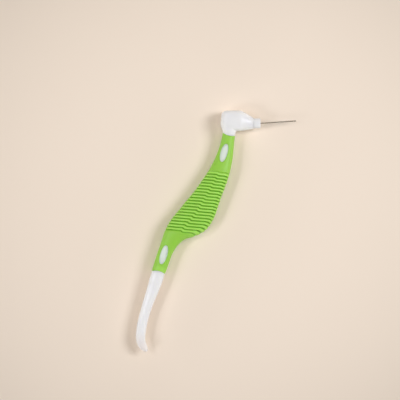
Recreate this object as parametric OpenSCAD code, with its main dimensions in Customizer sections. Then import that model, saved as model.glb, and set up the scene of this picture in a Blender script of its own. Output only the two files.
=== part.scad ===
// Angled interdental brush with a soft ribbed grip and a pull-out brush refill.
// The handle lies on its side: Y runs along it, X across it, Z up through its thickness.
// The origin is under the middle of the whole brush, on the surface that it lies on.

/* [Handle] */
// Height of the mould's parting plane over the surface
plane_z = 4.5; // [4.5:0.1:5.5]
// Thickness of the soft grip over the core, in the belly
grip_wall = 1.4; // [1.1:0.1:1.5]
// Thickness of the soft grip at its two ends
grip_lip = 0.8; // [0.6:0.1:0.9]
// How far the grip stands proud of the white tail
grip_proud = 0.15; // [0:0.05:0.2]

/* [Ribs] */
// Number of ribs round the grip
rib_count = 20; // [8:1:20]
// Distance from rib to rib, down the grip
rib_pitch = 1.43; // [1.3:0.01:1.43]
// Height of a rib over the smooth grip
rib_crest = 0.10; // [0:0.02:0.1]
// Depth of a groove under the smooth grip
rib_groove = 0.45; // [0.1:0.05:0.5]
// Drop of each rib where it crosses the centre line
rib_jog = 0.5; // [0:0.1:0.8]
// Slope of the ribs across the grip
rib_slope = 0.23; // [0.1:0.01:0.25]

/* [Windows] */
// Length of the upper oval window
window_a_len = 8.4; // [6:0.2:9]
// Length of the lower oval window
window_b_len = 8.8; // [6:0.2:9.4]
// Width of both windows
window_w = 3.2; // [2:0.1:3.2]
// Depth of the white pads under the grip's surface
pad_recess = 0.15; // [0.1:0.05:0.4]

/* [Head and socket] */
// Direction of the head's axis, in degrees from X
head_dir = 19; // [15:0.5:23]
// Radius of the refill's stem
stem_r = 1.5; // [1.2:0.05:1.5]
// Length of the refill's stem inside the head
stem_len = 7.5; // [5:0.25:8]
// Clearance all round the stem
stem_play = 0.05; // [0.02:0.01:0.08]
// Distance from the stem's axis to its flat
stem_flat = 1.15; // [1.1:0.01:1.2]

/* [Collar] */
// Radius of the collar outside the head
collar_r = 2.25; // [2:0.05:2.25]
// Length of the collar outside the head
collar_len = 3.0; // [2.5:0.1:4]
// Gap between the head's end face and the collar
collar_gap = 0.1; // [0.05:0.01:0.2]

/* [Wire and bristles] */
// Length of the wire outside the collar
wire_len = 16.1; // [12:0.1:16.3]
// Radius of one strand of the folded wire
strand_r = 0.13; // [0.12:0.01:0.16]
// Length of one full turn of the twist
twist_pitch = 1.6; // [1.4:0.1:2.4]
// Turn of the wire away from the head's axis, in degrees
wire_bend = 3; // [0:0.5:4]
// Reach of the bristles beside the collar
bristle_root_r = 1.6; // [1:0.1:2]
// Reach of the bristles at the tip
bristle_tip_r = 0.9; // [0.6:0.1:1.6]
// Radius of one filament
filament_r = 0.04; // [0.03:0.005:0.04]
// Distance between filaments along the wire
filament_step = 0.2; // [0.2:0.05:0.6]

/* [Hidden] */

N = 24;              // points round the grip, the core and the tail
NH = 28;             // points round the head
FINE = 64;           // circles that a fit depends on
grip_top = 44.25;    // level where the grip ends under the head
grip_end = -23.8;    // level where the grip ends at the tail
rib_top = 25.34;     // level of the first rib's crest
bond = 0.02;         // gap that stands for the moulded bond
strand_off = strand_r + 0.05;   // from the twist's axis to a strand's centre
loop_off = 0.2;      // half width of the fold at the tip
head_o = [2.6, 52.6];           // centre of the head's end face
wire_out = collar_len + 0.2;    // where the wire starts to bend
wire_in = -2;                   // root of the wire, inside the stem
turn_len = 1.5;                 // length of the wire's bend

// The handle's stations, from the head to the tail:
// level, left side, right side, half height, slope across, bow, right bend
HANDLE = [
    [51.0, -11.9, -5.2, 4.3, 0.30, 0, 0],
    [49.0, -11.7, -4.5, 4.2, 0.20, 0, 0],
    [47.2, -11.1, -4.0, 3.8, 0.10, -0.1, 0],
    [45.8, -10.1, -3.75, 3.35, 0.04, -0.4, 0],
    [44.25, -9.3, -3.6, 2.95, 0.06, -0.65, 0],
    [42.0, -8.95, -3.2, 2.9, 0.05, -0.5, 0],
    [39.0, -8.7, -2.55, 2.95, 0.06, -0.2, 0],
    [36.0, -8.7, -1.95, 3.0, 0.10, 0, 0],
    [33.0, -8.9, -1.45, 3.1, 0.15, 0, 0],
    [30.0, -9.25, -1.1, 3.4, 0.20, 0, 0.1],
    [27.0, -9.85, -0.8, 3.8, 0.23, 0, 0.4],
    [24.0, -10.8, -0.6, 4.1, 0.23, 0, 0.7],
    [20.0, -12.05, -0.75, 4.3, 0.23, 0, 0.8],
    [16.0, -13.5, -0.95, 4.4, 0.23, 0, 0.8],
    [12.0, -15.25, -1.0, 4.4, 0.23, 0, 0.8],
    [8.0, -16.9, -1.0, 4.4, 0.23, 0, 0.8],
    [5.0, -18.3, -1.3, 4.4, 0.23, 0, 0.9],
    [3.0, -19.1, -1.85, 4.4, 0.23, 0, 1.0],
    [1.0, -19.7, -2.7, 4.35, 0.23, 0, 1.1],
    [-1.0, -20.1, -4.4, 4.3, 0.23, 0, 1.2],
    [-3.0, -20.35, -7.2, 4.1, 0.22, 0, 1.1],
    [-5.0, -20.45, -9.5, 3.9, 0.20, 0, 0.6],
    [-7.0, -20.4, -11.3, 3.7, 0.16, 0, 0.2],
    [-9.0, -20.4, -12.45, 3.5, 0.12, 0, 0],
    [-12.0, -20.4, -13.6, 3.3, 0.07, 0, 0],
    [-15.0, -20.5, -14.1, 3.2, 0.03, 0, 0],
    [-19.0, -20.5, -14.2, 3.1, 0.03, 0.2, 0],
    [-24.4, -20.4, -14.45, 2.9, 0.08, 0.8, 0],
    [-26.0, -20.3, -14.5, 2.8, 0.08, 0.6, 0]
];

// The tail's stations past the grip: x, y, half width, half height, squareness
TAIL = [
    [-17.35, -27.0, 2.95, 2.7, 2.6],
    [-17.35, -30.0, 2.85, 2.6, 2.5],
    [-17.4, -33.0, 2.7, 2.5, 2.35],
    [-17.5, -36.0, 2.5, 2.35, 2.2],
    [-17.6, -40.0, 2.32, 2.2, 2.1],
    [-17.5, -44.0, 2.22, 2.1, 2],
    [-17.25, -48.0, 2.17, 2.0, 2],
    [-16.75, -51.5, 2.14, 1.9, 2],
    [-16.1, -54.3, 2.1, 1.8, 2],
    [-15.3, -56.2, 2.02, 1.65, 2],
    [-14.2, -57.6, 1.85, 1.45, 2],
    [-13.1, -58.5, 1.58, 1.25, 2],
    [-12.15, -59.1, 1.18, 1.0, 2],
    [-11.5, -59.45, 0.72, 0.6, 2],
    [-11.2, -59.6, 0.3, 0.3, 2]
];

// The head's stations along its axis, from its end face to its rear:
// distance, sideways offset of the centre, half width, half height, squareness
HEAD = [
    [0, 0.05, 2.4, 2.35, 2],
    [-1.2, 0.32, 2.98, 2.78, 2],
    [-2.6, 0.68, 3.55, 3.28, 2.1],
    [-4.2, 1.0, 4.12, 3.85, 2.3],
    [-5.4, 1.22, 4.47, 4.27, 2.45],
    [-6.4, 1.3, 4.62, 4.46, 2.55],
    [-8.4, 1.3, 4.65, 4.5, 2.6],
    [-10.8, 1.3, 4.65, 4.42, 2.6],
    [-12.3, 1.3, 4.6, 4.25, 2.5],
    [-13.3, 1.3, 4.38, 3.85, 2.4],
    [-13.9, 1.3, 3.9, 3.25, 2.3],
    [-14.35, 1.3, 3.0, 2.35, 2.2],
    [-14.55, 1.3, 1.5, 1.15, 2]
];

// A smooth curve through column c of a falling table T, at level t
function seg(T, t, i = 0) = (i >= len(T) - 2 || t >= T[i + 1][0]) ? i : seg(T, t, i + 1);
function chord(T, c, i) = (T[i + 1][c] - T[i][c]) / (T[i + 1][0] - T[i][0]);
function slope_at(T, c, i) = i <= 0 ? chord(T, c, 0) : i >= len(T) - 1 ? chord(T, c, len(T) - 2)
    : (T[i + 1][c] - T[i - 1][c]) / (T[i + 1][0] - T[i - 1][0]);
function hermite(a, b, ma, mb, d, q) = a * (2 * q * q * q - 3 * q * q + 1) + b * (3 * q * q - 2 * q * q * q)
    + d * ma * (q * q * q - 2 * q * q + q) + d * mb * (q * q * q - q * q);
function curve(T, t, c) = let (i = seg(T, t), d = T[i + 1][0] - T[i][0], q = (t - T[i][0]) / d)
    hermite(T[i][c], T[i + 1][c], slope_at(T, c, i), slope_at(T, c, i + 1), d, q);

function clamp(q) = max(0, min(1, q));
function ease(q) = let (k = clamp(q)) k * k * (3 - 2 * k);
function spow(v, p) = sign(v) * pow(abs(v), p);

// How far the ribbed surface stands over the smooth one at level t
function rib_phase(t) = (rib_top - t) / rib_pitch;
function rib(t) = let (f = rib_phase(t), e = rib_count - 1)
    f <= -1 || f >= e + 0.9 ? 0
    : f < 0 ? rib_crest - (rib_crest + rib_groove * 0.45) * (0.5 - 0.5 * cos(360 * f)) - rib_crest * ease(-f * 2 - 1)
    : f > e + 0.5 ? -rib_groove * ease((e + 0.9 - f) / 0.4)
    : rib_crest - (rib_crest + rib_groove) * (0.5 - 0.5 * cos(360 * f));

// A point round the handle: level t, angle a, moved in by an inset
function shelf(t, x) = let (
        xl = curve(HANDLE, t, 1), xr = curve(HANDLE, t, 2), xc = (xl + xr) / 2, w = (xr - xl) / 2,
        on = ease((28 - t) / 3) * ease((t + 6) / 3))
    t + curve(HANDLE, t, 4) * (rib_slope / 0.23) * (x + 10)
    + curve(HANDLE, t, 5) * (1 - pow((x - xc) / w, 2))
    - on * rib_jog * ease((x - xc) / 1.4 + 0.5)
    - curve(HANDLE, t, 6) * pow(clamp(1 - (xr - x) / 2.8), 2)
    - on * 0.3 * pow(clamp(1 - (x - xl) / 1.2), 2);
function handle_point(t, inset, a) = let (
        xl = curve(HANDLE, t, 1), xr = curve(HANDLE, t, 2), xc = (xl + xr) / 2, w = (xr - xl) / 2 - inset,
        x = xc + w * spow(cos(a), 0.9))
    [x, shelf(t, x), plane_z + (curve(HANDLE, t, 3) - inset) * spow(sin(a), 0.84)];
function handle_ring(t, inset) = [for (k = [0:N - 1]) handle_point(t, inset, 360 * k / N)];

// Inset of the hidden core under the smooth grip
function core_inset(t) = grip_lip + (grip_wall - grip_lip) * ease((grip_top - 2 - t) / 12) * ease((t - grip_end - 2) / 12);

// A ring of the tail, square to the way that the tail runs there
function tail_dir(i) = let (a = TAIL[max(0, i - 1)], b = TAIL[min(len(TAIL) - 1, i + 1)], d = [b[0] - a[0], b[1] - a[1]]) d / norm(d);
function tail_ring(i) = let (s = TAIL[i], d = tail_dir(i))
    [for (k = [0:N - 1]) let (u = s[2] * spow(cos(360 * k / N), 2 / s[4]), v = s[3] * spow(sin(360 * k / N), 2 / s[4]))
        [s[0] - d[1] * u, s[1] + d[0] * u, plane_z + v]];

// The head: each station's middle and half axes, in the plane of the head's axis
function head_ring(i) = let (s = HEAD[i])
    [for (k = [0:NH - 1]) let (
            u = s[1] + s[2] * spow(cos(360 * k / NH), 2 / s[4]), v = s[3] * spow(sin(360 * k / NH), 2 / s[4]))
        [head_o[0] + s[0] * cos(head_dir) - u * sin(head_dir), head_o[1] + s[0] * sin(head_dir) + u * cos(head_dir), plane_z + v]];

// A closed skin over a list of rings with the same number of points
module skin(rings, loop = false) {
    n = len(rings[0]);
    m = len(rings);
    pts = [for (r = rings) each r];
    side = [for (i = [0:m - (loop ? 1 : 2)], k = [0:n - 1]) let (
            j = (i + 1) % m, a = i * n + k, b = i * n + (k + 1) % n, c = j * n + (k + 1) % n, d = j * n + k)
        each [[a, c, b], [a, d, c]]];
    caps = loop ? [] : [[for (k = [0:n - 1]) k], [for (k = [n - 1:-1:0]) (m - 1) * n + k]];
    polyhedron(points = pts, faces = concat(side, caps), convexity = 10);
}

// Levels of the rings along the hidden core
core_levels = [42, 39, 36, 33, 30, 27, 24, 20, 16, 12, 8, 5, 3, 1, -1, -3, -5, -7, -9, -12, -15, -18, -21];
// Levels of the rings along the grip: smooth, four to a rib, smooth again
grip_levels = concat([grip_top, 42, 39, 36, 33, 30, 28], [for (f = [-1:0.25:rib_count]) rib_top - f * rib_pitch],
    [for (t = [17, 14, 11, 8, 5, 3, 1, -1, -3, -5, -6, -7.5, -9, -10.5, -12, -14, -16.5, -19, -21.5, grip_end]) if (t < rib_top - rib_count * rib_pitch - 0.4) t]);

// An oval outline, a little fuller than an ellipse
module oval(len, w) {
    polygon([for (k = [0:39]) [w / 2 * spow(cos(9 * k), 0.92), len / 2 * spow(sin(9 * k), 0.92)]]);
}

// The windows' places, each cut from both sides: centre x and y, lean, length, level
WINDOWS = [[-5.95, 35.8, 2, window_a_len, 36], [-17.55, -16.0, 2, window_b_len, -16]];

// An oval post through the parting plane, grown by more: a pair of pads, or the cutter of a pair of windows
module window_body(i, more, top) {
    w = WINDOWS[i];
    for (up = [0, 1])
        translate([w[0], w[1], plane_z]) rotate([0, 0, w[2]]) mirror([0, 0, up])
            linear_extrude(height = top) oval(w[3] + 2 * more, window_w + 2 * more);
}

// A frame on the head's axis: X runs out along it from the head's end face
module on_axis() {
    translate([head_o[0], head_o[1], plane_z]) rotate([0, 0, head_dir]) children();
}

// A rod on that axis from one distance to another
module rod(r, from, to) {
    translate([from, 0, 0]) rotate([0, 90, 0]) cylinder(r = r, h = to - from, $fn = FINE);
}

// The stem, or with play its socket: round, with one flat that keeps it from turning
module stem(r, flat, from, to) {
    difference() {
        rod(r, from, to);
        translate([from - 1, flat, -3]) cube([to - from + 2, 3, 6]);
    }
}

// White core: head, neck, hidden rod, window pads and tail in one moulding
module handle_core() {
    color("whitesmoke")
    difference() {
        union() {
            skin(concat(
                [for (t = [51, 49, 47.2, 46.4, 45.8, 45.2]) handle_ring(t, 0)],
                [handle_ring(grip_top, 0), handle_ring(grip_top, grip_lip)],
                [for (t = core_levels) handle_ring(t, core_inset(t))],
                [handle_ring(grip_end, grip_lip), handle_ring(grip_end, grip_proud)],
                [for (i = [0:len(TAIL) - 1]) tail_ring(i)]));
            skin([for (i = [len(HEAD) - 1:-1:0]) head_ring(i)]);
            for (i = [0, 1])
                window_body(i, -bond, curve(HANDLE, WINDOWS[i][4], 3) - pad_recess);
        }
        on_axis() stem(stem_r + stem_play, stem_flat + stem_play, -stem_len - 0.3, 1);
    }
}

// Green grip: a soft sleeve moulded over the core, ribbed and with four windows
module grip_sleeve() {
    outer = [for (t = grip_levels) handle_ring(t + (t == grip_top ? -bond : t == grip_end ? bond : 0), -rib(t))];
    inner = [for (t = concat([grip_end], [for (k = [len(core_levels) - 1:-1:0]) core_levels[k]], [grip_top]))
        handle_ring(t + (t == grip_top ? -bond : t == grip_end ? bond : 0), core_inset(t) - bond)];
    color("yellowgreen")
    difference() {
        skin(concat(outer, inner), loop = true);
        for (i = [0, 1])
            window_body(i, 0, 8);
    }
}

// White hub of the refill: collar, stem and the bore that holds the wire
module refill_hub() {
    color("white")
    on_axis() difference() {
        union() {
            rod(collar_r, collar_gap, collar_gap + collar_len - 0.25);
            translate([collar_gap + collar_len - 0.25, 0, 0]) rotate([0, 90, 0])
                cylinder(r1 = collar_r, r2 = collar_r - 0.25, h = 0.25, $fn = FINE);
            stem(stem_r, stem_flat, -stem_len, collar_gap + 0.5);
        }
        rod(strand_off + strand_r + 0.01, wire_in - 0.1, collar_len + 1);
    }
}

// The wire's centre line: straight in the hub, then a slight bend, then straight again
function wire_dir(s) = head_dir + wire_bend * clamp((s - wire_out) / turn_len);
function ray(a) = [cos(a), sin(a)];
function wire_mid(s) = let (
        k = max(wire_bend, 0.001) / turn_len, p1 = head_o + wire_out * ray(head_dir),
        d = head_dir + k * (min(s, wire_out + turn_len) - wire_out),
        arc = (180 / PI / k) * [sin(d) - sin(head_dir), cos(head_dir) - cos(d)])
    s <= wire_out ? head_o + s * ray(head_dir)
    : p1 + arc + max(0, s - wire_out - turn_len) * ray(head_dir + wire_bend);

// Where the strands stop and the fold starts, and the twist along the wire
wire_end = collar_gap + collar_len + wire_len - loop_off - strand_r;
untwist = 1.2;
function twist(s) = let (q = max(0, s - (wire_end - untwist))) 360 / twist_pitch * ((min(s, wire_end - untwist) - wire_end + untwist) + q - q * q / (2 * untwist) - untwist / 2);
function twist_rate(s) = 2 * PI / twist_pitch * (1 - max(0, s - (wire_end - untwist)) / untwist);
function off_at(s) = strand_off + (loop_off - strand_off) * ease((s - wire_end + untwist) / untwist);

function unit(v) = v / norm(v);
function place(s, u, z, a = 0) = let (m = wire_mid(s), d = ray(wire_dir(s))) [m[0] + a * d[0] - u * d[1], m[1] + a * d[1] + u * d[0], plane_z + z];
// A ring round one strand: side is 1 on the way out and -1 on the way back
function strand_ring(s, side) = let (
        f = twist(s), r = off_at(s), w = r * twist_rate(s),
        e1 = side * [0, cos(f), sin(f)], e2 = cross(unit([side, -w * sin(f), w * cos(f)]), e1))
    [for (k = [0:5]) let (c = strand_r * cos(60 * k), h = strand_r * sin(60 * k), p = r * e1 + c * e1 + h * e2)
        place(s, p[1], p[2], p[0])];
// A ring round the fold at the tip, at angle a along its half circle
function fold_ring(a) = let (e1 = [sin(a), cos(a), 0], e2 = [0, 0, 1])
    [for (k = [0:5]) let (p = (loop_off + strand_r * cos(60 * k)) * e1 + strand_r * sin(60 * k) * e2)
        place(wire_end, p[1], p[2], p[0])];

// Steel wire: one length folded at the tip and its two halves twisted together
module twisted_wire() {
    steps = ceil((wire_end - wire_in) / twist_pitch * 10);
    color("dimgray")
    skin(concat(
        [for (i = [0:steps]) strand_ring(wire_in + (wire_end - wire_in) * i / steps, 1)],
        [for (a = [22.5:22.5:157.5]) fold_ring(a)],
        [for (i = [steps:-1:0]) strand_ring(wire_in + (wire_end - wire_in) * i / steps, -1)]));
}

// Nylon bristles: fine filaments held in the twist, shorter towards the tip
module bristles() {
    first = collar_gap + collar_len + 1.2;
    last = wire_end - untwist - 0.1;
    count = floor((last - first) / filament_step);
    color("gainsboro")
    for (i = [0:count]) {
        s = first + i * filament_step;
        m = wire_mid(s);
        reach = bristle_root_r + (bristle_tip_r - bristle_root_r) * i / count;
        translate([m[0], m[1], plane_z]) rotate([0, 0, wire_dir(s)]) rotate([twist(s), 0, 0])
            cylinder(r = filament_r, h = 2 * reach, center = true, $fn = 16);
    }
}

handle_core();
grip_sleeve();
refill_hub();
twisted_wire();
bristles();
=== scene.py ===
import math

import bmesh
import bpy
import numpy as np
from mathutils import Matrix, Vector


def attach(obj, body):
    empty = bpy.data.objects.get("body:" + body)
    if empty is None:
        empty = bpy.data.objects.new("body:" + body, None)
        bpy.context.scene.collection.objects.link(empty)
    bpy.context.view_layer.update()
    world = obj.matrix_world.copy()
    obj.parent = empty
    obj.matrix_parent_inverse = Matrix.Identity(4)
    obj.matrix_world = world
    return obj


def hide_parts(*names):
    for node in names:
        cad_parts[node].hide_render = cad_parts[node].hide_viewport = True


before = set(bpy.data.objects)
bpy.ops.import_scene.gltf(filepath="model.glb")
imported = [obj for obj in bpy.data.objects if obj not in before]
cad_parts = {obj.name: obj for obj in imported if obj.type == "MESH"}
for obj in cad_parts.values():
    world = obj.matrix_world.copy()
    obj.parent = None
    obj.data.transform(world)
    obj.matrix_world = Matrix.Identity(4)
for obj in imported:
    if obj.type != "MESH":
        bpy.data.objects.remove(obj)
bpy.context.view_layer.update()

MM = 0.001
PLANE = 4.5  # height of the mould's parting plane, mm

# ---------------------------------------------------------------- the object's rules, in mm, as in the CAD source

GRIP_TOP, GRIP_END = 44.25, -23.8
RIBS, PITCH, RIB_TOP = 20, 1.43, 25.34
HEAD_DIR = math.radians(19)
HEAD_O = np.array([2.6, 52.6])
COLLAR_R, COLLAR_LEN, COLLAR_GAP = 2.25, 3.0, 0.1
STEM_R, STEM_LEN, STEM_FLAT, STEM_PLAY = 1.5, 7.5, 1.15, 0.05
WIRE_LEN, STRAND_R, TWIST_PITCH, WIRE_BEND = 16.1, 0.13, 1.6, 3.0
SEAM = 0.02  # the fine gap seen between the collar and the barrel

# level, left side, right side, half height, slope across, bow, right bend
HANDLE = np.array([
    [51.0, -11.9, -5.2, 4.3, 0.30, 0, 0],
    [49.0, -11.7, -4.5, 4.2, 0.20, 0, 0],
    [47.2, -11.1, -4.0, 3.8, 0.10, -0.1, 0],
    [45.8, -10.1, -3.75, 3.35, 0.04, -0.4, 0],
    [44.25, -9.3, -3.6, 2.95, 0.06, -0.65, 0],
    [42.0, -8.95, -3.2, 2.9, 0.05, -0.5, 0],
    [39.0, -8.7, -2.55, 2.95, 0.06, -0.2, 0],
    [36.0, -8.7, -1.95, 3.0, 0.10, 0, 0],
    [33.0, -8.9, -1.45, 3.1, 0.15, 0, 0],
    [30.0, -9.25, -1.1, 3.4, 0.20, 0, 0.1],
    [27.0, -9.85, -0.8, 3.8, 0.23, 0, 0.4],
    [24.0, -10.8, -0.6, 4.1, 0.23, 0, 0.7],
    [20.0, -12.05, -0.75, 4.3, 0.23, 0, 0.8],
    [16.0, -13.5, -0.95, 4.4, 0.23, 0, 0.8],
    [12.0, -15.25, -1.0, 4.4, 0.23, 0, 0.8],
    [8.0, -16.9, -1.0, 4.4, 0.23, 0, 0.8],
    [5.0, -18.3, -1.3, 4.4, 0.23, 0, 0.9],
    [3.0, -19.1, -1.85, 4.4, 0.23, 0, 1.0],
    [1.0, -19.7, -2.7, 4.35, 0.23, 0, 1.1],
    [-1.0, -20.1, -4.4, 4.3, 0.23, 0, 1.2],
    [-3.0, -20.35, -7.2, 4.1, 0.22, 0, 1.1],
    [-5.0, -20.45, -9.5, 3.9, 0.20, 0, 0.6],
    [-7.0, -20.4, -11.3, 3.7, 0.16, 0, 0.2],
    [-9.0, -20.4, -12.45, 3.5, 0.12, 0, 0],
    [-12.0, -20.4, -13.6, 3.3, 0.07, 0, 0],
    [-15.0, -20.5, -14.1, 3.2, 0.03, 0, 0],
    [-19.0, -20.5, -14.2, 3.1, 0.03, 0.2, 0],
    [-24.4, -20.4, -14.45, 2.9, 0.08, 0.8, 0],
    [-26.0, -20.3, -14.5, 2.8, 0.08, 0.6, 0],
])
# x, y, half width, half height, squareness
TAIL = np.array([
    [-17.35, -27.0, 2.95, 2.7, 2.6],
    [-17.35, -30.0, 2.85, 2.6, 2.5],
    [-17.4, -33.0, 2.7, 2.5, 2.35],
    [-17.5, -36.0, 2.5, 2.35, 2.2],
    [-17.6, -40.0, 2.32, 2.2, 2.1],
    [-17.5, -44.0, 2.22, 2.1, 2],
    [-17.25, -48.0, 2.17, 2.0, 2],
    [-16.75, -51.5, 2.14, 1.9, 2],
    [-16.1, -54.3, 2.1, 1.8, 2],
    [-15.3, -56.2, 2.02, 1.65, 2],
    [-14.2, -57.6, 1.85, 1.45, 2],
    [-13.1, -58.5, 1.58, 1.25, 2],
    [-12.15, -59.1, 1.18, 1.0, 2],
    [-11.5, -59.45, 0.72, 0.6, 2],
    [-11.2, -59.6, 0.3, 0.3, 2],
])
# distance along the head's axis, sideways offset, half width, half height, squareness
HEAD = np.array([
    [0, 0.05, 2.4, 2.35, 2],
    [-1.2, 0.32, 2.98, 2.78, 2],
    [-2.6, 0.68, 3.55, 3.28, 2.1],
    [-4.2, 1.0, 4.12, 3.85, 2.3],
    [-5.4, 1.22, 4.47, 4.27, 2.45],
    [-6.4, 1.3, 4.62, 4.46, 2.55],
    [-8.4, 1.3, 4.65, 4.5, 2.6],
    [-10.8, 1.3, 4.65, 4.42, 2.6],
    [-12.3, 1.3, 4.6, 4.25, 2.5],
    [-13.3, 1.3, 4.38, 3.85, 2.4],
    [-13.9, 1.3, 3.9, 3.25, 2.3],
    [-14.35, 1.3, 3.0, 2.35, 2.2],
    [-14.55, 1.3, 1.5, 1.15, 2],
])
# the two pairs of windows: x, y, lean, length
WINDOWS = [(-5.95, 35.8, math.radians(2), 8.4), (-17.55, -16.0, math.radians(2), 8.8)]
WINDOW_W = 3.2
# where the ribs step down as they cross the middle of the grip: level, x
JOG = np.array([[24, -5.6], [20, -6.4], [16, -7.3], [12, -8.2], [8, -9.1], [5, -10.2], [3, -11.1], [1, -11.9], [-1, -12.6], [-3, -13.4]])


def spow(v, p):
    return np.sign(v) * np.abs(v) ** p


def ease(q):
    k = np.clip(q, 0, 1)
    return k * k * (3 - 2 * k)


def table(T, t, c):
    """A smooth curve through column c of a falling table at the levels t."""
    t = np.asarray(t, float)
    x, y = -T[:, 0], T[:, c]
    m = np.empty(len(x))
    m[1:-1] = (y[2:] - y[:-2]) / (x[2:] - x[:-2])
    m[0] = (y[1] - y[0]) / (x[1] - x[0])
    m[-1] = (y[-1] - y[-2]) / (x[-1] - x[-2])
    i = np.clip(np.searchsorted(x, -t, side="right") - 1, 0, len(x) - 2)
    d = x[i + 1] - x[i]
    q = (-t - x[i]) / d
    return (
        y[i] * (2 * q**3 - 3 * q**2 + 1)
        + y[i + 1] * (3 * q**2 - 2 * q**3)
        + d * m[i] * (q**3 - 2 * q**2 + q)
        + d * m[i + 1] * (q**3 - q**2)
    )


def jog_x(t):
    return np.interp(-np.asarray(t, float), -JOG[:, 0], JOG[:, 1])


def shelf(t, x):
    """The y of the point at x on the ring of level t: rings slope, step, bow and bend as the ribs do."""
    xl, xr = table(HANDLE, t, 1), table(HANDLE, t, 2)
    xc, w = (xl + xr) / 2, (xr - xl) / 2
    on = ease((28 - t) / 3) * ease((t + 6) / 3)
    step = 0.5 + 0.15 * ease((20 - t) / 20)
    return (
        t
        + table(HANDLE, t, 4) * (x + 10)
        + table(HANDLE, t, 5) * (1 - np.clip((x - xc) / w, -1, 1) ** 2)
        - on * step * ease((x - jog_x(t)) / 1.3 + 0.5)
        - table(HANDLE, t, 6) * np.clip(1 - (xr - x) / 2.8, 0, 1) ** 2
        - on * 0.3 * np.clip(1 - (x - xl) / 1.2, 0, 1) ** 2
    )


def handle_point(t, inset, a):
    xl, xr = table(HANDLE, t, 1), table(HANDLE, t, 2)
    xc, w = (xl + xr) / 2, (xr - xl) / 2 - inset
    x = xc + w * spow(np.cos(a), 0.9)
    z = (table(HANDLE, t, 3) - inset) * spow(np.sin(a), 0.84)
    return np.stack([x, shelf(t, x), PLANE + z], -1)


def rib(t):
    """Height of the ribbed surface over the smooth one: round crests between narrower grooves."""
    f = (RIB_TOP - np.asarray(t, float)) / PITCH
    e = RIBS - 1
    wave = 0.5 - 0.5 * np.cos(2 * np.pi * f)
    wave = wave**3.0
    crest, groove = 0.12, 0.48
    body = crest - (crest + groove) * wave
    first = crest - (crest + groove * 0.45) * wave - crest * ease(-f * 2 - 1)
    last = -groove * ease((e + 0.9 - f) / 0.4)
    r = np.where(f < 0, first, np.where(f > e + 0.5, last, body))
    return np.where((f <= -1) | (f >= e + 0.9), 0.0, r)


def level_at(x, y):
    """The ring level whose surface passes over (x, y)."""
    lo, hi = np.full(np.shape(x), -26.0), np.full(np.shape(x), 51.0)
    for _ in range(40):
        mid = (lo + hi) / 2
        low = shelf(mid, x) < y
        lo, hi = np.where(low, mid, lo), np.where(low, hi, mid)
    return (lo + hi) / 2


def surface_height(x, y):
    """Height of the smooth grip over the parting plane above (x, y)."""
    t = level_at(x, y)
    xl, xr = table(HANDLE, t, 1), table(HANDLE, t, 2)
    c = spow(np.clip((x - (xl + xr) / 2) / ((xr - xl) / 2), -1, 1), 1 / 0.9)
    return table(HANDLE, t, 3) * spow(np.sqrt(np.clip(1 - c * c, 0, 1)), 0.84)


def core_inset(t):
    return 0.8 + 0.6 * ease((GRIP_TOP - 2 - t) / 12) * ease((t - GRIP_END - 2) / 12)


def window_outline(i, more, n=96, inner=1.0):
    """Points of a window's oval edge, grown by more, scaled towards its middle by inner."""
    wx, wy, lean, length = WINDOWS[i]
    a = np.arange(n) * 2 * np.pi / n
    u = (WINDOW_W / 2 + more) * spow(np.cos(a), 0.92) * inner
    v = (length / 2 + more) * spow(np.sin(a), 0.92) * inner
    return np.stack([wx + u * math.cos(lean) - v * math.sin(lean), wy + u * math.sin(lean) + v * math.cos(lean)], -1)


def window_distance(i, x, y):
    """Roughly how far outside a window's edge a point lies."""
    wx, wy, lean, length = WINDOWS[i]
    dx, dy = x - wx, y - wy
    u = dx * math.cos(lean) + dy * math.sin(lean)
    v = -dx * math.sin(lean) + dy * math.cos(lean)
    a, b = WINDOW_W / 2, length / 2
    p = 2 / 0.92
    f = (np.abs(u / a) ** p + np.abs(v / b) ** p + 1e-9) ** (1 / p)
    g = np.hypot(u / (a * a), v / (b * b)) / np.hypot(u / a, v / b).clip(1e-6)
    return (f - 1) / np.maximum(g, 1e-6)


# ---------------------------------------------------------------- mesh helpers


def build(name, verts_mm, faces):
    me = bpy.data.meshes.new(name)
    me.from_pydata((np.asarray(verts_mm, float) * MM).tolist(), [], faces)
    me.validate()
    me.update()
    ob = bpy.data.objects.new(name, me)
    bpy.context.scene.collection.objects.link(ob)
    me.polygons.foreach_set("use_smooth", [True] * len(me.polygons))
    return ob


def skin(rings, loop=False, closed_ends=True):
    """Quads over a stack of rings with the same number of points."""
    m, n = len(rings), len(rings[0])
    v = np.asarray(rings, float).reshape(-1, 3)
    i = np.arange(m if loop else m - 1)[:, None]
    k = np.arange(n)[None, :]
    j = (i + 1) % m
    a, b, c, d = i * n + k, i * n + (k + 1) % n, j * n + (k + 1) % n, j * n + k
    faces = np.stack([a + 0 * b, b + 0 * a, c + 0 * a, d + 0 * b], -1).reshape(-1, 4).tolist()
    if not loop and closed_ends:
        v = np.vstack([v, np.mean(rings[0], 0)[None], np.mean(rings[-1], 0)[None]])
        top, end = m * n, m * n + 1
        for q in range(n):
            faces.append([top, (q + 1) % n, q])
            faces.append([end, (m - 1) * n + q, (m - 1) * n + (q + 1) % n])
    return v, faces


def outward(ob):
    """Turns all faces outward."""
    bm = bmesh.new()
    bm.from_mesh(ob.data)
    bmesh.ops.recalc_face_normals(bm, faces=bm.faces)
    if bm.calc_volume(signed=True) < 0:
        bmesh.ops.reverse_faces(bm, faces=bm.faces)
    bm.to_mesh(ob.data)
    bm.free()
    return ob


def paint(ob, name, value):
    """A number at each point of ob, for its material. value takes the points in mm."""
    me = ob.data
    co = np.zeros(len(me.vertices) * 3)
    me.vertices.foreach_get("co", co)
    at = me.attributes.get(name) or me.attributes.new(name, "FLOAT", "POINT")
    at.data.foreach_set("value", np.asarray(value(co.reshape(-1, 3) / MM), np.float32))


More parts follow.
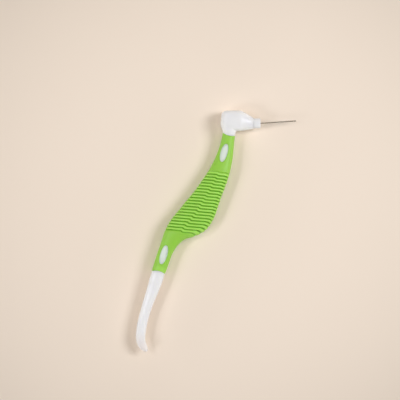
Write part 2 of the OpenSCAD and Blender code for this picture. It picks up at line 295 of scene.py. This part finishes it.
def settle(ob):
    """Applies the modifiers of ob."""
    bpy.context.view_layer.update()
    dg = bpy.context.evaluated_depsgraph_get()
    me = bpy.data.meshes.new_from_object(ob.evaluated_get(dg), depsgraph=dg)
    old = ob.data
    ob.modifiers.clear()
    ob.data = me
    me.name = ob.name
    bpy.data.meshes.remove(old)
    return ob


def boolean(ob, other, operation):
    m = ob.modifiers.new("cut", "BOOLEAN")
    m.operation, m.object, m.solver = operation, other, "MANIFOLD"
    settle(ob)
    bpy.data.objects.remove(other)
    return ob


def smooth_all(ob):
    ob.data.polygons.foreach_set("use_smooth", [True] * len(ob.data.polygons))
    ob.data.update()


def sharpen(ob, degrees):
    """Smooth shading with the hard edges kept."""
    smooth_all(ob)
    bm = bmesh.new()
    bm.from_mesh(ob.data)
    limit = math.radians(degrees)
    for e in bm.edges:
        e.smooth = len(e.link_faces) == 2 and e.calc_face_angle(0) < limit
    bm.to_mesh(ob.data)
    bm.free()


def on_axis(s, u, w):
    """A point in the head's frame (along, sideways, up) in mm, in the row frame."""
    s, u, w = np.broadcast_arrays(np.asarray(s, float), np.asarray(u, float), np.asarray(w, float))
    c, d = math.cos(HEAD_DIR), math.sin(HEAD_DIR)
    return np.stack([HEAD_O[0] + s * c - u * d, HEAD_O[1] + s * d + u * c, PLANE + w], -1)


# ---------------------------------------------------------------- grip


def span(a, b, step):
    n = max(2, int(round(abs(b - a) / step)) + 1)
    return np.linspace(a, b, n)[:-1]


def make_grip():
    n = 176
    ang = np.arange(n) * 2 * np.pi / n
    # the grooves run out on the flanks, deepest just before their right ends
    flank = 0.3 + 0.7 * ease(np.abs(np.sin(ang)) / 0.55) + 0.35 * np.exp(-(((np.cos(ang) - 0.8) / 0.12) ** 2))
    first, last = RIB_TOP + PITCH, RIB_TOP - RIBS * PITCH
    levels = np.concatenate([
        span(GRIP_TOP - 0.02, GRIP_TOP - 0.5, 0.1), span(GRIP_TOP - 0.5, 40.6, 0.3), span(40.6, 30.4, 0.16), span(30.4, first + 0.2, 0.3),
        span(first + 0.2, last - 0.6, PITCH / 14), span(last - 0.6, -10.5, 0.28), span(-10.5, -21.8, 0.16),
        span(-21.8, GRIP_END + 0.5, 0.25), span(GRIP_END + 0.5, GRIP_END + 0.02, 0.1), [GRIP_END + 0.02],
    ])
    outer = []
    for t in levels:
        p = handle_point(t, -rib(t) * flank, ang)
        x, y, z = p[:, 0], p[:, 1], p[:, 2] - PLANE
        drop = np.zeros(n)
        for i in (0, 1):
            d = np.clip(window_distance(i, x, y), 0, None)
            r = 0.22
            q = np.clip(r - d, 0, r)
            drop = np.maximum(drop, 0.5 * (r - np.sqrt(r * r - q * q)))
        near = np.abs(z) > 1.2
        z = np.where(near, np.sign(z) * (np.abs(z) - drop), z)
        # the mould's parting line, a low fine ridge round the sides
        seam = 0.035 * np.exp(-((p[:, 2] - PLANE) / 0.09) ** 2)
        x = x + np.sign(np.cos(ang)) * seam
        # soft edges where the grip meets the core
        edge = min(abs(t - GRIP_TOP), abs(t - GRIP_END))
        lip = 0.16 * max(0.0, 1 - edge / 0.22) ** 2
        cx, hz = (x.max() + x.min()) / 2, np.abs(z).max()
        x = cx + (x - cx) * (1 - lip / ((x.max() - x.min()) / 2))
        z = z * (1 - lip / hz)
        outer.append(np.stack([x, y, PLANE + z], -1))
    inner = [handle_point(t, core_inset(t) - 0.02, ang) for t in np.concatenate([[GRIP_END + 0.02], np.arange(-23.5, 44.0, 1.0), [GRIP_TOP - 0.02]])]
    v, f = skin(outer + inner, loop=True)
    grip = outward(build("grip", v, f))
    for i in (0, 1):
        edge = window_outline(i, 0)
        cutter = [np.column_stack([edge, np.full(len(edge), PLANE + h)]) for h in (-8, 8)]
        v, f = skin(cutter)
        boolean(grip, outward(build("cutter", v, f)), "DIFFERENCE")
    sharpen(grip, 40)

    # painted shade and light: a number for the rubber's colour that darkens the grooves and pales the crests as light
    # and shade fall on them, less so near the flanks
    def painted_groove_shade(p):
        t = level_at(p[:, 0], p[:, 1])
        xl, xr = table(HANDLE, t, 1), table(HANDLE, t, 2)
        edge = np.clip(np.minimum(p[:, 0] - xl, xr - p[:, 0]) / 0.7, 0, 1)
        ribbed = ease((RIB_TOP + 0.8 * PITCH - t) / 0.4) * ease((t - RIB_TOP + (RIBS - 0.3) * PITCH) / 0.4)
        # painted light: the grip's colour is made paler towards its lower end
        painted_lighting_tone = 0.2 * ease((-20.8 - t) / 1.5) * ease((p[:, 0] + 19.8) / 1.5)
        return 0.3 - painted_lighting_tone + (np.clip((0.12 - rib(t)) / 0.60, 0, 1) - 0.3) * ribbed * (0.4 + 0.6 * ease(edge))

    paint(grip, "groove", painted_groove_shade)
    return grip


# ---------------------------------------------------------------- core: head, neck, rod, pads and tail


def tail_curve(u):
    """Smooth values of the tail's table at the places u, counted in rows."""
    T = TAIL
    i = np.clip(np.floor(u).astype(int), 0, len(T) - 2)
    q = (u - i)[:, None]
    p0, p1, p2, p3 = T[np.maximum(i - 1, 0)], T[i], T[i + 1], T[np.minimum(i + 2, len(T) - 1)]
    return 0.5 * (2 * p1 + (p2 - p0) * q + (2 * p0 - 5 * p1 + 4 * p2 - p3) * q**2 + (3 * p1 - p0 - 3 * p2 + p3) * q**3)


def seam_ridge(z, width=0.08, height=0.03):
    return height * np.exp(-(z / width) ** 2)


def make_core():
    # head and neck, joined by a voxel remesh so that their meeting is a soft fillet
    n = 144
    ang = np.arange(n) * 2 * np.pi / n
    s_values = np.concatenate([np.linspace(-14.55, -12.2, 22), np.linspace(-12.0, -6.6, 18), np.linspace(-6.4, 0, 26)])
    rings = []
    for s in s_values:
        off, hw, hh, sq = (float(table(HEAD, s, c)) for c in (1, 2, 3, 4))
        u = off + hw * spow(np.cos(ang), 2 / sq)
        w = hh * spow(np.sin(ang), 2 / sq)
        rings.append(on_axis(s, u, w))
    v, f = skin(rings)
    core = outward(build("core", v, f))
    neck_levels = np.concatenate([np.arange(51, GRIP_TOP + 0.2, -0.4), [GRIP_TOP]])
    neck = [handle_point(t, 0.0, ang) for t in neck_levels]
    rod = [handle_point(t, core_inset(t), ang) for t in np.concatenate([[GRIP_TOP], np.arange(43.6, 37.9, -0.8)])]
    v, f = skin(neck + rod)
    boolean(core, outward(build("neck", v, f)), "UNION")
    m = core.modifiers.new("skin", "REMESH")
    m.mode, m.voxel_size, m.use_smooth_shade = "VOXEL", 0.13 * MM, True
    settle(core)
    m = core.modifiers.new("soft", "SMOOTH")
    m.factor, m.iterations = 0.5, 4
    settle(core)
    # a softer fillet where the neck runs into the barrel
    me = core.data
    co = np.zeros(len(me.vertices) * 3)
    me.vertices.foreach_get("co", co)
    co = co.reshape(-1, 3) / MM
    d = co[:, :2] - HEAD_O
    s = d[:, 0] * math.cos(HEAD_DIR) + d[:, 1] * math.sin(HEAD_DIR)
    u = -d[:, 0] * math.sin(HEAD_DIR) + d[:, 1] * math.cos(HEAD_DIR)
    weight = np.exp(-((u + 3.3) / 1.1) ** 2) * ease((-3.6 - s) / 1.2)
    group = core.vertex_groups.new(name="fillet")
    for level in range(1, 11):
        idx = np.nonzero(np.round(weight * 10) == level)[0]
        if len(idx):
            group.add(idx.tolist(), level / 10, "REPLACE")
    m = core.modifiers.new("fillet", "SMOOTH")
    m.factor, m.iterations, m.vertex_group = 0.5, 40, "fillet"
    settle(core)

    # a crisp rim round the head's end face
    ang = np.arange(128) * 2 * np.pi / 128
    rim = []
    for s in (-0.5, -0.3, -0.1, 0.0):
        off, hw, hh, sq = (float(table(HEAD, s, c)) for c in (1, 2, 3, 4))
        rim.append(on_axis(s, off + hw * spow(np.cos(ang), 2 / sq), hh * spow(np.sin(ang), 2 / sq)))
    v, f = skin(rim)
    boolean(core, outward(build("rim", v, f)), "UNION")

    # rod and tail
    n = 96
    ang = np.arange(n) * 2 * np.pi / n
    rings = [handle_point(t, core_inset(t), ang) for t in np.concatenate([np.arange(40, -23.3, -0.8), [GRIP_END]])]
    tail_u = np.concatenate([np.linspace(0, 8, 65), np.linspace(8.1, 14, 72)])
    T = tail_curve(tail_u)
    d = np.gradient(T[:, :2], axis=0)
    d /= np.linalg.norm(d, axis=1)[:, None]
    tails = []
    for (x, y, hw, hh, sq), (dx, dy) in zip(T, d):
        c, s = hw * spow(np.cos(ang), 2 / sq), hh * spow(np.sin(ang), 2 / sq)
        # a shallow flat along the tail's upper left, which carries its highlight
        for up in (1, -1):
            nx, nz = -math.sin(math.radians(18)), up * math.cos(math.radians(18))
            reach = math.hypot(hw * nx, hh * nz)
            over = np.clip(c * nx + s * nz - reach * (1 - 0.04 * ease((-28 - y) / 4) * ease((y + 56) / 4)), 0, None)
            c, s = c - over * nx, s - over * nz
        tails.append(np.stack([x - dy * c, y + dx * c, PLANE + s], -1))
    start = handle_point(GRIP_END, 0.15, ang)
    for q in np.linspace(0, 1, 12)[:-1]:
        # from the bowed shoulder at the grip to the tail's first ring
        rings.append(start * (1 - ease(q)) + tails[0] * ease(q) + np.array([0, (q - ease(q)) * (tails[0][0, 1] - start[0, 1]), 0]))
    rings += tails
    rings = np.array(rings)
    z = rings[:, :, 2] - PLANE
    outside = (np.arange(len(rings)) >= 82)[:, None]
    mid = rings.mean(1, keepdims=True)
    way = rings - mid
    way /= np.linalg.norm(way, axis=2, keepdims=True).clip(1e-6)
    rings = rings + way * (seam_ridge(z, 0.1, 0.03) * outside)[:, :, None]
    v, f = skin(rings)
    boolean(core, outward(build("rod", v, f)), "UNION")

    # pads that fill the grip's windows, following its surface a little below it
    for i in (0, 1):
        top = []
        for inner in (0.02, 0.2, 0.4, 0.6, 0.75, 0.86, 0.93, 0.97, 0.99, 1.0):
            p = window_outline(i, -0.01, 96, inner)
            edge = (1 - inner) * WINDOW_W / 2
            round_off = 0.04 * max(0.0, 1 - edge / 0.1) ** 2
            h = surface_height(p[:, 0], p[:, 1]) - 0.08 - round_off
            top.append(np.column_stack([p, PLANE + h]))
        low = [np.column_stack([r[:, :2], 2 * PLANE - r[:, 2]]) for r in top[::-1]]
        v, f = skin(top + low)
        boolean(core, outward(build("pad", v, f)), "UNION")

    # the socket for the refill's stem: round with one flat
    r, flat = STEM_R + STEM_PLAY, STEM_FLAT + STEM_PLAY
    lim = math.acos(flat / r)
    a = np.linspace(math.pi / 2 + lim, 2.5 * math.pi - lim, 72)
    uu, ww = r * np.cos(a), r * np.sin(a)
    # sideways is +u, so the flat faces +u as in the CAD
    uu, ww = ww, -uu
    prof = [on_axis(s, uu * k, ww * k) for s, k in ((-STEM_LEN - 0.3, 1), (-0.12, 1), (0.0, 1.05), (1.0, 1.05))]
    v, f = skin(prof)
    boolean(core, outward(build("socket", v, f)), "DIFFERENCE")
    sharpen(core, 38)
    core.name = "core"

    # painted reflection: a number for the pads' green tint, strongest at their rims
    def tint(p):
        value = np.zeros(len(p))
        for i in (0, 1):
            d = -window_distance(i, p[:, 0], p[:, 1])
            value = np.where(d > -0.05, np.maximum(value, 0.35 + 0.65 * np.exp(-np.clip(d, 0, None) / 0.45)), value)
        return value

    paint(core, "pad", tint)
    # painted see-through: the tail's tip is tinted towards the floor's colour, standing in for the floor showing
    # through its thin plastic
    paint(core, "painted_lighting_tone", lambda p: ease((-50.5 - p[:, 1]) / 8.5))
    return core


# ---------------------------------------------------------------- refill


def make_hub():
    n = 128
    ang = np.arange(n) * 2 * np.pi / n
    end = COLLAR_GAP + COLLAR_LEN
    r = COLLAR_R
    prof = [(SEAM, r - 0.12), (SEAM + 0.01, r - 0.05), (SEAM + 0.03, r - 0.015), (SEAM + 0.08, r)]
    prof += [(SEAM + 0.08 + q * (end - 0.45 - SEAM - 0.08), r) for q in (0.25, 0.5, 0.75, 1.0)]
    for q in range(1, 9):
        a = q / 8 * math.pi / 2
        prof.append((end - 0.42 + 0.42 * math.sin(a), r - 0.42 + 0.42 * math.cos(a)))
    prof += [(end, r - 0.8), (end - 0.02, 0.95), (end - 0.1, 0.7), (end - 0.2, 0.5)]
    rings = []
    for s, rad in prof:
        ridge = seam_ridge(rad * np.sin(ang), 0.08, 0.02) if rad > r - 0.3 else 0
        rings.append(on_axis(s, (rad + ridge) * np.cos(ang), (rad + ridge) * np.sin(ang)))
    # the stem behind the collar: round with one flat
    stem = []
    rear = [(-STEM_LEN, 0.82), (-STEM_LEN + 0.08, 0.92), (-STEM_LEN + 0.22, 0.98), (-STEM_LEN + 0.4, 1.0), (-4, 1.0), (-0.2, 1.0), (SEAM, 1.0)]
    for s, k in rear:
        u = STEM_R * k * np.cos(ang)
        w = STEM_R * k * np.sin(ang)
        stem.append(on_axis(s, np.minimum(u, STEM_FLAT * k), w))
    v, f = skin(stem + rings)
    hub = outward(build("hub", v, f))
    sharpen(hub, 42)
    return hub


WIRE_OUT, WIRE_IN, TURN = COLLAR_LEN + 0.2, -2.0, 1.5
STRAND_OFF, LOOP_OFF, UNTWIST = STRAND_R + 0.04, 0.19, 1.2
WIRE_END = COLLAR_GAP + COLLAR_LEN + WIRE_LEN - LOOP_OFF - STRAND_R


def ray(a):
    return np.stack([np.cos(a), np.sin(a)], -1)


def wire_mid(s):
    s = np.asarray(s, float)
    k = math.radians(WIRE_BEND) / TURN
    d = HEAD_DIR + k * (np.clip(s, WIRE_OUT, WIRE_OUT + TURN) - WIRE_OUT)
    p1 = HEAD_O + WIRE_OUT * ray(np.array(HEAD_DIR))
    arc = np.stack([np.sin(d) - math.sin(HEAD_DIR), math.cos(HEAD_DIR) - np.cos(d)], -1) / k
    straight = HEAD_O + s[..., None] * ray(np.array(HEAD_DIR))
    bent = p1 + arc + np.maximum(0, s - WIRE_OUT - TURN)[..., None] * ray(np.array(HEAD_DIR + math.radians(WIRE_BEND)))
    return np.where((s <= WIRE_OUT)[..., None], straight, bent), d


def place(s, along, u, z):
    m, d = wire_mid(s)
    c, n = np.cos(d), np.sin(d)
    return np.stack([m[..., 0] + along * c - u * n, m[..., 1] + along * n + u * c, PLANE + z], -1)


def twist(s):
    q = np.maximum(0, s - (WIRE_END - UNTWIST))
    return 2 * np.pi / TWIST_PITCH * (np.minimum(s, WIRE_END - UNTWIST) - WIRE_END + UNTWIST + q - q * q / (2 * UNTWIST) - UNTWIST / 2)


def make_wire():
    n = 14
    ring = np.arange(n) * 2 * np.pi / n
    s = np.linspace(WIRE_IN, WIRE_END, int((WIRE_END - WIRE_IN) / TWIST_PITCH * 26))
    off = STRAND_OFF + (LOOP_OFF - STRAND_OFF) * ease((s - WIRE_END + UNTWIST) / UNTWIST)
    f = twist(s)
    path = [place(s, 0, side * off * np.cos(f), side * off * np.sin(f)) for side in (1, -1)]
    a = np.linspace(0, np.pi, 15)[1:-1]
    fold = place(np.full(len(a), WIRE_END), LOOP_OFF * np.sin(a), LOOP_OFF * np.cos(a), 0 * a)
    line = np.vstack([path[0], fold, path[1][::-1]])
    d = np.gradient(line, axis=0)
    d /= np.linalg.norm(d, axis=1)[:, None]
    # carry one frame along the path, so that the tube's rings don't spin
    e = np.cross(d[0], [0, 0, 1.0])
    e /= np.linalg.norm(e)
    rings = []
    for p, t in zip(line, d):
        e = e - t * (e @ t)
        e /= np.linalg.norm(e)
        g = np.cross(t, e)
        rings.append(p + STRAND_R * (np.cos(ring)[:, None] * e + np.sin(ring)[:, None] * g))
    v, fa = skin(rings)
    return outward(build("wire", v, fa))


def make_bristles():
    """Nylon filaments pinched in the twist: each crosses between the two strands and leans a little its own way."""
    rng = np.random.default_rng(7)
    first, last = COLLAR_GAP + COLLAR_LEN + 0.9, WIRE_END - UNTWIST - 0.1
    count = 84
    n = 6
    ring = np.arange(n) * 2 * np.pi / n
    verts, faces, base = [], [], 0
    for i in range(count):
        s = first + (last - first) * (i + rng.uniform(-0.3, 0.3)) / count
        reach = 1.6 + (0.9 - 1.6) * i / count
        reach *= rng.uniform(0.94, 1.0)
        f = float(twist(np.array(s))) + rng.normal(0, 0.10)
        lean = rng.normal(0, 0.10)
        curl = rng.normal(0, 0.06)
        q = np.linspace(-1, 1, 9)
        r = q * reach
        along = lean * r + curl * (q * q) * reach
        swing = rng.normal(0, 0.05) * q * np.abs(q) * reach
        line = place(np.full(len(q), s), along, r * math.cos(f) - swing * math.sin(f), r * math.sin(f) + swing * math.cos(f))
        d = np.gradient(line, axis=0)
        d /= np.linalg.norm(d, axis=1)[:, None]
        e = np.cross(d, np.array([math.cos(HEAD_DIR), math.sin(HEAD_DIR), 0.1]))
        e /= np.linalg.norm(e, axis=1)[:, None]
        g = np.cross(d, e)
        rad = 0.016 * np.where(np.abs(q) > 0.99, 0.6, 1.0)
        rings = line[:, None] + rad[:, None, None] * (np.cos(ring)[None, :, None] * e[:, None] + np.sin(ring)[None, :, None] * g[:, None])
        v, fa = skin(list(rings))
        faces += [[k + base for k in one] for one in fa]
        base += len(v)
        verts.append(v)
    return outward(build("bristles", np.vstack(verts), faces))


# ---------------------------------------------------------------- materials


def material(name):
    m = bpy.data.materials.new(name)
    m.use_nodes = True
    nt = m.node_tree
    return m, nt, nt.nodes["Principled BSDF"]


def node(nt, kind, **values):
    x = nt.nodes.new(kind)
    for k, v in values.items():
        if hasattr(x, k):
            setattr(x, k, v)
        else:
            x.inputs[k].default_value = v
    return x


def noise(nt, coord, scale, detail=4.0, rough=0.5, stretch=None):
    x = node(nt, "ShaderNodeTexNoise")
    x.inputs["Scale"].default_value = scale
    x.inputs["Detail"].default_value = detail
    x.inputs["Roughness"].default_value = rough
    if stretch:
        mp = node(nt, "ShaderNodeMapping")
        mp.inputs["Scale"].default_value = stretch
        nt.links.new(coord, mp.inputs["Vector"])
        nt.links.new(mp.outputs[0], x.inputs["Vector"])
    else:
        nt.links.new(coord, x.inputs["Vector"])
    return x.outputs["Fac"]


def remap(nt, value, a, b, c, d):
    x = node(nt, "ShaderNodeMapRange")
    for k, v in zip(("From Min", "From Max", "To Min", "To Max"), (a, b, c, d)):
        x.inputs[k].default_value = v
    nt.links.new(value, x.inputs["Value"])
    return x.outputs["Result"]


def mix_colour(nt, fac, a, b):
    x = nt.nodes.new("ShaderNodeMix")
    x.data_type = "RGBA"
    nt.links.new(fac, x.inputs["Factor"])
    x.inputs["A"].default_value = (*a, 1)
    x.inputs["B"].default_value = (*b, 1)
    return x.outputs["Result"]


def bump(nt, bsdf, heights):
    """Chains bumps: (height output, distance in metres, strength)."""
    last = None
    for h, distance, strength in heights:
        x = node(nt, "ShaderNodeBump")
        x.inputs["Strength"].default_value = strength
        x.inputs["Distance"].default_value = distance
        nt.links.new(h, x.inputs["Height"])
        if last:
            nt.links.new(last, x.inputs["Normal"])
        last = x.outputs["Normal"]
    nt.links.new(last, bsdf.inputs["Normal"])


def coords(nt):
    return node(nt, "ShaderNodeTexCoord").outputs["Object"]


def lin(r, g, b):
    """sRGB bytes as linear light."""
    return tuple(((c / 255 + 0.055) / 1.055) ** 2.4 if c > 10 else c / 255 / 12.92 for c in (r, g, b))


def white_plastic(name, tint=(239, 239, 240), sub=0.9):
    m, nt, b = material(name)
    co = coords(nt)
    cloud = noise(nt, co, 160, 3.0)
    fine = noise(nt, co, 5200, 3.0, 0.6)
    flow = noise(nt, co, 900, 2.0, 0.5, (1.0, 0.18, 1.0))
    deep = tuple(c * 0.97 for c in lin(*tint))
    # painted reflection: the pads are tinted green, most at their rims, standing in for the green light the grip around
    # them throws onto them
    pad = node(nt, "ShaderNodeAttribute")
    pad.attribute_name = "pad"
    rim = mix_colour(nt, pad.outputs["Fac"], (1.0, 1.0, 1.0), (0.79, 1.06, 0.76))
    shade = nt.nodes.new("ShaderNodeMix")
    shade.data_type, shade.blend_type = "RGBA", "MULTIPLY"
    shade.inputs["Factor"].default_value = 1.0
    nt.links.new(mix_colour(nt, cloud, lin(*tint), deep), shade.inputs["A"])
    nt.links.new(rim, shade.inputs["B"])
    # painted see-through: the floor's colour on the tail's tip
    painted_lighting_tone = node(nt, "ShaderNodeAttribute")
    painted_lighting_tone.attribute_name = "painted_lighting_tone"
    clear = nt.nodes.new("ShaderNodeMix")
    clear.data_type, clear.blend_type = "RGBA", "MULTIPLY"
    clear.inputs["Factor"].default_value = 1.0
    nt.links.new(shade.outputs["Result"], clear.inputs["A"])
    nt.links.new(mix_colour(nt, painted_lighting_tone.outputs["Fac"], (1.0, 1.0, 1.0), (0.955, 0.905, 0.875)), clear.inputs["B"])
    nt.links.new(clear.outputs["Result"], b.inputs["Base Color"])
    nt.links.new(remap(nt, flow, 0.3, 0.7, 0.15, 0.21), b.inputs["Roughness"])
    b.inputs["IOR"].default_value = 1.49
    b.inputs["Specular IOR Level"].default_value = 0.18
    b.inputs["Subsurface Weight"].default_value = sub
    b.inputs["Subsurface Radius"].default_value = (1.0, 1.0, 0.95)
    b.inputs["Subsurface Scale"].default_value = 0.002
    bump(nt, b, [(flow, 0.00002, 0.25), (fine, 0.000004, 0.4)])
    return m


def green_rubber(name):
    m, nt, b = material(name)
    co = coords(nt)
    cloud = noise(nt, co, 240, 4.0)
    grain = noise(nt, co, 6500, 3.0, 0.65)
    pores = noise(nt, co, 2400, 2.0, 0.5)
    groove = node(nt, "ShaderNodeAttribute")
    groove.attribute_name = "groove"
    # painted light and shade: pale on the ribs' crests, darker in their grooves, as light and shade fall on them
    ramp = nt.nodes.new("ShaderNodeValToRGB")
    tones = ramp.color_ramp.elements
    tones[0].position, tones[0].color = 0.0, (*lin(170, 228, 92), 1)
    tones[1].position, tones[1].color = 1.0, (*lin(98, 165, 36), 1)
    smooth_part = tones.new(0.3)
    smooth_part.color = (*lin(151, 209, 69), 1)
    nt.links.new(groove.outputs["Fac"], ramp.inputs["Fac"])
    shade = nt.nodes.new("ShaderNodeMix")
    shade.data_type, shade.blend_type = "RGBA", "MULTIPLY"
    shade.inputs["Factor"].default_value = 1.0
    nt.links.new(ramp.outputs["Color"], shade.inputs["A"])
    nt.links.new(mix_colour(nt, cloud, (0.95, 0.95, 0.93), (1.04, 1.04, 1.06)), shade.inputs["B"])
    nt.links.new(shade.outputs["Result"], b.inputs["Base Color"])
    nt.links.new(remap(nt, pores, 0.3, 0.7, 0.42, 0.55), b.inputs["Roughness"])
    b.inputs["IOR"].default_value = 1.5
    b.inputs["Subsurface Weight"].default_value = 0.2
    b.inputs["Subsurface Radius"].default_value = (0.6, 1.0, 0.2)
    b.inputs["Subsurface Scale"].default_value = 0.0005
    bump(nt, b, [(pores, 0.00002, 0.2), (grain, 0.000008, 0.5)])
    return m


def steel_wire(name):
    m, nt, b = material(name)
    co = coords(nt)
    stain = noise(nt, co, 700, 3.0)
    draw = noise(nt, co, 9000, 2.0, 0.5, (0.12, 0.3, 1.0))
    nt.links.new(mix_colour(nt, stain, lin(147, 134, 117), lin(168, 155, 138)), b.inputs["Base Color"])
    b.inputs["Metallic"].default_value = 1.0
    nt.links.new(remap(nt, draw, 0.3, 0.7, 0.3, 0.48), b.inputs["Roughness"])
    bump(nt, b, [(draw, 0.000004, 0.5)])
    return m


def nylon(name):
    m, nt, b = material(name)
    co = coords(nt)
    band = noise(nt, co, 1500, 2.0)
    nt.links.new(mix_colour(nt, band, lin(250, 246, 238), lin(240, 235, 226)), b.inputs["Base Color"])
    nt.links.new(remap(nt, band, 0.3, 0.7, 0.3, 0.42), b.inputs["Roughness"])
    b.inputs["IOR"].default_value = 1.53
    b.inputs["Subsurface Weight"].default_value = 0.9
    b.inputs["Subsurface Radius"].default_value = (1.0, 1.0, 1.0)
    b.inputs["Subsurface Scale"].default_value = 0.0002
    fine = noise(nt, co, 20000, 2.0)
    bump(nt, b, [(fine, 0.000001, 0.3)])
    return m


def floor_paper(name):
    m, nt, b = material(name)
    co = coords(nt)
    cloud = noise(nt, co, 14, 4.0)
    fibre = noise(nt, co, 1500, 5.0, 0.6)
    # painted light: a little lighter round the object than far from it, a pool of light painted on the floor
    away = node(nt, "ShaderNodeVectorMath", operation="DISTANCE")
    nt.links.new(co, away.inputs[0])
    away.inputs[1].default_value = (-0.0097, 0.0124, 0.0)
    painted_light_falloff = node(nt, "ShaderNodeMath", operation="POWER")
    nt.links.new(remap(nt, away.outputs["Value"], 0.0, 0.125, 0.0, 1.0), painted_light_falloff.inputs[0])
    painted_light_falloff.inputs[1].default_value = 3.0
    tone = nt.nodes.new("ShaderNodeMix")
    tone.data_type, tone.blend_type = "RGBA", "MULTIPLY"
    tone.inputs["Factor"].default_value = 1.0
    nt.links.new(mix_colour(nt, cloud, (0.892, 0.765, 0.642), (0.909, 0.783, 0.662)), tone.inputs["A"])
    nt.links.new(mix_colour(nt, painted_light_falloff.outputs["Value"], (1.035, 1.035, 1.035), (0.865, 0.865, 0.86)), tone.inputs["B"])
    nt.links.new(tone.outputs["Result"], b.inputs["Base Color"])
    nt.links.new(remap(nt, fibre, 0.3, 0.7, 0.75, 0.9), b.inputs["Roughness"])
    bump(nt, b, [(fibre, 0.00003, 0.25)])
    return m


# ---------------------------------------------------------------- camera

CAM_D = 0.70
look = Vector((-0.00966, 0.01238, PLANE * MM))
cam_data = bpy.data.cameras.new("camera")
cam_data.sensor_width = 36
cam_data.lens = 36 * CAM_D / 0.180
cam_data.clip_start, cam_data.clip_end = 0.01, 10
cam = bpy.data.objects.new("camera", cam_data)
bpy.context.scene.collection.objects.link(cam)
cam.matrix_world = Matrix.Translation(look + Vector((0, 0, CAM_D))) @ Matrix.Rotation(math.radians(18), 4, "Z")
bpy.context.scene.camera = cam

# ---------------------------------------------------------------- pieces

grip = make_grip()
core = make_core()
hub = make_hub()
wire = make_wire()
bristles = make_bristles()

for piece, body, node_name, slot_name, mat in (
    (grip, "handle", "grip_sleeve", "grip_green", green_rubber("green_rubber")),
    (core, "handle", "handle_core", "core_white", white_plastic("core_plastic")),
    (hub, "refill", "refill_hub", "hub_white", white_plastic("hub_plastic", (237, 237, 238), 0.25)),
    (wire, "refill", "twisted_wire", "wire_steel", steel_wire("steel")),
    (bristles, "refill", "bristles", "bristle_nylon", nylon("nylon")),
):
    piece.data.materials.clear()
    piece.data.materials.append(mat)
    piece.data.polygons.foreach_set("material_index", [0] * len(piece.data.polygons))
    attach(piece, body)
    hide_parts(node_name)
    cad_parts[node_name].data.materials.clear()
    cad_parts[node_name].data.materials.append(mat)

# ---------------------------------------------------------------- floor and light

bm = bmesh.new()
bmesh.ops.create_grid(bm, x_segments=8, y_segments=8, size=1.5)
floor_mesh = bpy.data.meshes.new("floor")
bm.to_mesh(floor_mesh)
bm.free()
floor = bpy.data.objects.new("floor", floor_mesh)
bpy.context.scene.collection.objects.link(floor)
floor.location = (0, 0, -0.00002)
floor.data.materials.append(floor_paper("floor_paper"))

UP = Vector((-math.sin(math.radians(18)), math.cos(math.radians(18)), 0))
RIGHT = Vector((math.cos(math.radians(18)), math.sin(math.radians(18)), 0))


FLOOR_LIGHT = 3.28  # what the open floor receives from everything, over its albedo


def softbox(name, share, way, tilt, distance, size, colour=(1, 1, 1), height=None):
    """A round soft light, or with a height a strip light, aimed at the object. It gives the open floor this
    share of its light. way is its direction in degrees from the picture's right, tilt its angle from straight above."""
    d = bpy.data.lights.new(name, "AREA")
    t, w = math.radians(tilt), math.radians(way)
    d.shape, d.size, d.color = "DISK", size, colour
    if height:
        d.shape, d.size_y = "RECTANGLE", height
    d.energy = share * FLOOR_LIGHT * math.pi * distance**2 / math.cos(t)
    o = bpy.data.objects.new(name, d)
    bpy.context.scene.collection.objects.link(o)
    p = look + (RIGHT * math.cos(w) + UP * math.sin(w)) * math.sin(t) * distance + Vector((0, 0, math.cos(t) * distance))
    o.matrix_world = Matrix.Translation(p) @ (look - p).to_track_quat("-Z", "Y").to_matrix().to_4x4()
    return o


softbox("key", 0.365, 14, 46, 0.8, 0.34, (0.97, 1.0, 1.06))
softbox("fill", 0.12, 172, 38, 0.85, 0.17, (0.97, 1.0, 1.06))
softbox("fill_near", 0.14, 205, 53, 0.9, 0.32, (0.97, 1.0, 1.06))
softbox("top", 0.19, 80, 9, 0.72, 0.5, (1.12, 0.97, 0.76))
# low strips round the set light the sides
softbox("low_right", 0.022, -5, 82, 0.9, 0.8, (1.0, 1.0, 0.98), 0.16)
softbox("low_left", 0.028, 180, 82, 0.9, 0.8, (1.0, 1.0, 0.98), 0.16)
softbox("low_near", 0.026, 272, 82, 0.9, 0.8, (1.0, 1.0, 0.98), 0.16)
softbox("low_far", 0.018, 92, 82, 0.9, 0.8, (1.0, 1.0, 0.98), 0.16)

world = bpy.data.worlds.new("world")
bpy.context.scene.world = world
world.use_nodes = True
back = world.node_tree.nodes["Background"]
back.inputs["Color"].default_value = (1.0, 1.0, 1.0, 1)
back.inputs["Strength"].default_value = 0.04

scene = bpy.context.scene
scene.view_settings.view_transform = "Standard"
scene.view_settings.look = "None"
scene.view_settings.exposure = 0.0
scene.view_settings.gamma = 1.0
